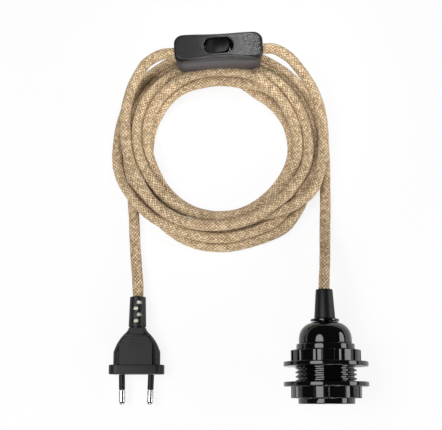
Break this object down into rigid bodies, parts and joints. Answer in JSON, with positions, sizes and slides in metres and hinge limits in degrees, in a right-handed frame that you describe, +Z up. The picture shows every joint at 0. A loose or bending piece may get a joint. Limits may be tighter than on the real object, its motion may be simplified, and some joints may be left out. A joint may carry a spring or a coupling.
{
  "type": "pendant cord set",
  "caption": "Pendant cord set: threaded lampholder with shade rings, coiled jute cord, inline rocker switch and flat two-pin plug.",
  "frame": {"origin": "on the table under the middle of the lampholder, which lies on the flanges of its two shade rings", "axes": "+Y along the lampholder from its open mouth towards its cord grip, +Z up from the table"},
  "size_m": [0.164, 0.2387, 0.0522],
  "materials": {
    "glossy_black_thermoplastic": "high gloss moulded black",
    "satin_black_plastic": "satin black, soft edges",
    "plug_black_plastic": "matte dark grey overmoulded plastic",
    "switch_housing_plastic": "fine grained satin dark grey",
    "insulator_plastic": "off-white heat resistant moulding",
    "brass": "plain stamped brass",
    "nickel": "bright nickel plating",
    "steel": "zinc plated",
    "jute_textile": "braided jute cover with slubs",
    "brown_core": "brown insulation",
    "blue_core": "blue insulation",
    "cream_sheath": "cream inner sheath"
  },
  "bodies": {
    "cord_set": {"holder_threaded_sleeve": "glossy_black_thermoplastic", "holder_cap": "glossy_black_thermoplastic", "cord_grip_nipple": "glossy_black_thermoplastic", "cord_grip_cone": "satin_black_plastic", "cord_grip_nut": "steel", "holder_insulator": "insulator_plastic", "holder_screw_shell": "brass", "holder_centre_contact": "brass", "holder_neutral_strap": "brass", "holder_terminal_live": "brass", "holder_terminal_neutral": "brass", "holder_terminal_screw_live": "steel", "holder_terminal_screw_neutral": "steel", "holder_core_live": "brown_core", "holder_core_neutral": "blue_core", "plug_body": "plug_black_plastic", "plug_pin_left": "nickel", "plug_pin_right": "nickel", "plug_pin_sleeve_left": "satin_black_plastic", "plug_pin_sleeve_right": "satin_black_plastic", "plug_cord_sheath": "cream_sheath", "switch_base": "switch_housing_plastic", "switch_cover": "switch_housing_plastic", "switch_terminal_left": "brass", "switch_terminal_right": "brass", "switch_terminal_screw_left": "steel", "switch_terminal_screw_right": "steel", "switch_core_live_left": "brown_core", "switch_core_live_right": "brown_core", "switch_core_neutral": "blue_core", "switch_clamp_left": "steel", "switch_clamp_right": "steel", "switch_clamp_screw_left_front": "steel", "switch_clamp_screw_left_back": "steel", "switch_clamp_screw_right_front": "steel", "switch_clamp_screw_right_back": "steel", "switch_housing_screw_left": "steel", "switch_housing_screw_right": "steel", "cord_coil": "jute_textile", "cord_holder_tail": "jute_textile", "cord_plug_tail": "jute_textile", "cord_switch_lead_left": "jute_textile", "cord_switch_lead_right": "jute_textile"},
    "lower_ring": {"shade_ring_lower": "glossy_black_thermoplastic"},
    "upper_ring": {"shade_ring_upper": "glossy_black_thermoplastic"},
    "rocker": {"switch_rocker": "glossy_black_thermoplastic", "switch_contact_bridge": "brass"}
  },
  "joints": [
    {"name": "lower_ring_travel", "type": "slide", "parent": "cord_set", "child": "lower_ring", "axis": [0, -1, 0], "range_m": [0, 0.016]},
    {"name": "upper_ring_travel", "type": "slide", "parent": "cord_set", "child": "upper_ring", "axis": [0, -1, 0], "range_m": [0, 0.009]},
    {"name": "rocker_tilt", "type": "hinge", "parent": "cord_set", "child": "rocker", "pos_m": [-0.0663, 0.1923, 0.0378], "axis": [-0.0523, 0.9986, 0], "range_deg": [0, 22]}
  ]
}
